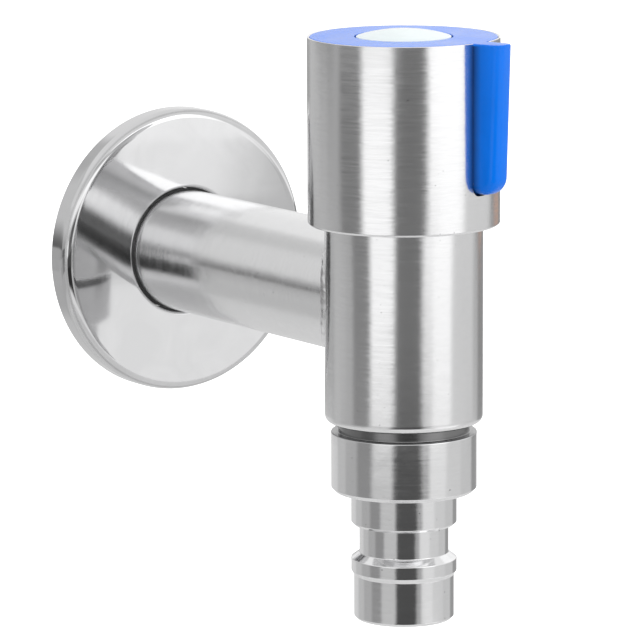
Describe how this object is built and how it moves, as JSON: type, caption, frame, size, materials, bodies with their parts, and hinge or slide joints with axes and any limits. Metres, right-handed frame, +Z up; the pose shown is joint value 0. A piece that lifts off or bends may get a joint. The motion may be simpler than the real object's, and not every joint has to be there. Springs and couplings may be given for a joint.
{
  "type": "wall-mounted tap",
  "caption": "Wall-mounted quarter-turn tap with a round wall flange, a straight arm, a knob with a fin and a quick-connect hose nozzle.",
  "frame": {"origin": "on the axis of the arm and its pipe thread, in the plane of the wall where the flange's back rim and the arm's shoulder lie", "axes": "+Y along the pipe thread into the wall, +Z up along the barrel, +X to the right when facing the wall"},
  "size_m": [0.055, 0.1138, 0.1087],
  "materials": {
    "brushed_steel": "fine lathe lines",
    "polished_steel": "mirror polished stainless steel",
    "weld": "bright weld bead",
    "blue_plastic": "glossy moulded plastic",
    "white_plastic": "glossy moulded plastic",
    "brass": "turned brass",
    "ceramic": "ground ceramic",
    "rubber": "black rubber",
    "nylon": "plain nylon",
    "zinc_steel": "zinc plated steel"
  },
  "bodies": {
    "tap_body": {"inlet_arm": "brushed_steel", "weld_bead": "weld", "barrel": "brushed_steel", "hose_nozzle": "brushed_steel", "nozzle_gasket": "rubber", "cartridge_body": "brass", "head_seal_ring": "rubber", "seat_gasket": "rubber", "fixed_disc": "ceramic"},
    "flange": {"wall_flange": "polished_steel"},
    "knob": {"moving_disc": "ceramic", "spindle": "brass", "thrust_washer": "nylon", "lower_spindle_ring": "rubber", "upper_spindle_ring": "rubber", "stop_washer": "zinc_steel", "retaining_clip": "zinc_steel", "knob_core": "blue_plastic", "knob_sleeve": "brushed_steel", "screw_washer": "zinc_steel", "handle_screw": "zinc_steel", "centre_cap": "white_plastic"}
  },
  "joints": [
    {"name": "knob_turn", "type": "hinge", "parent": "tap_body", "child": "knob", "pos_m": [0, -0.0775, 0.013], "axis": [0, 0, 1], "range_deg": [0, 90]},
    {"name": "flange_slide", "type": "slide", "parent": "tap_body", "child": "flange", "axis": [0, -1, 0], "range_m": [0, 0.05]}
  ]
}
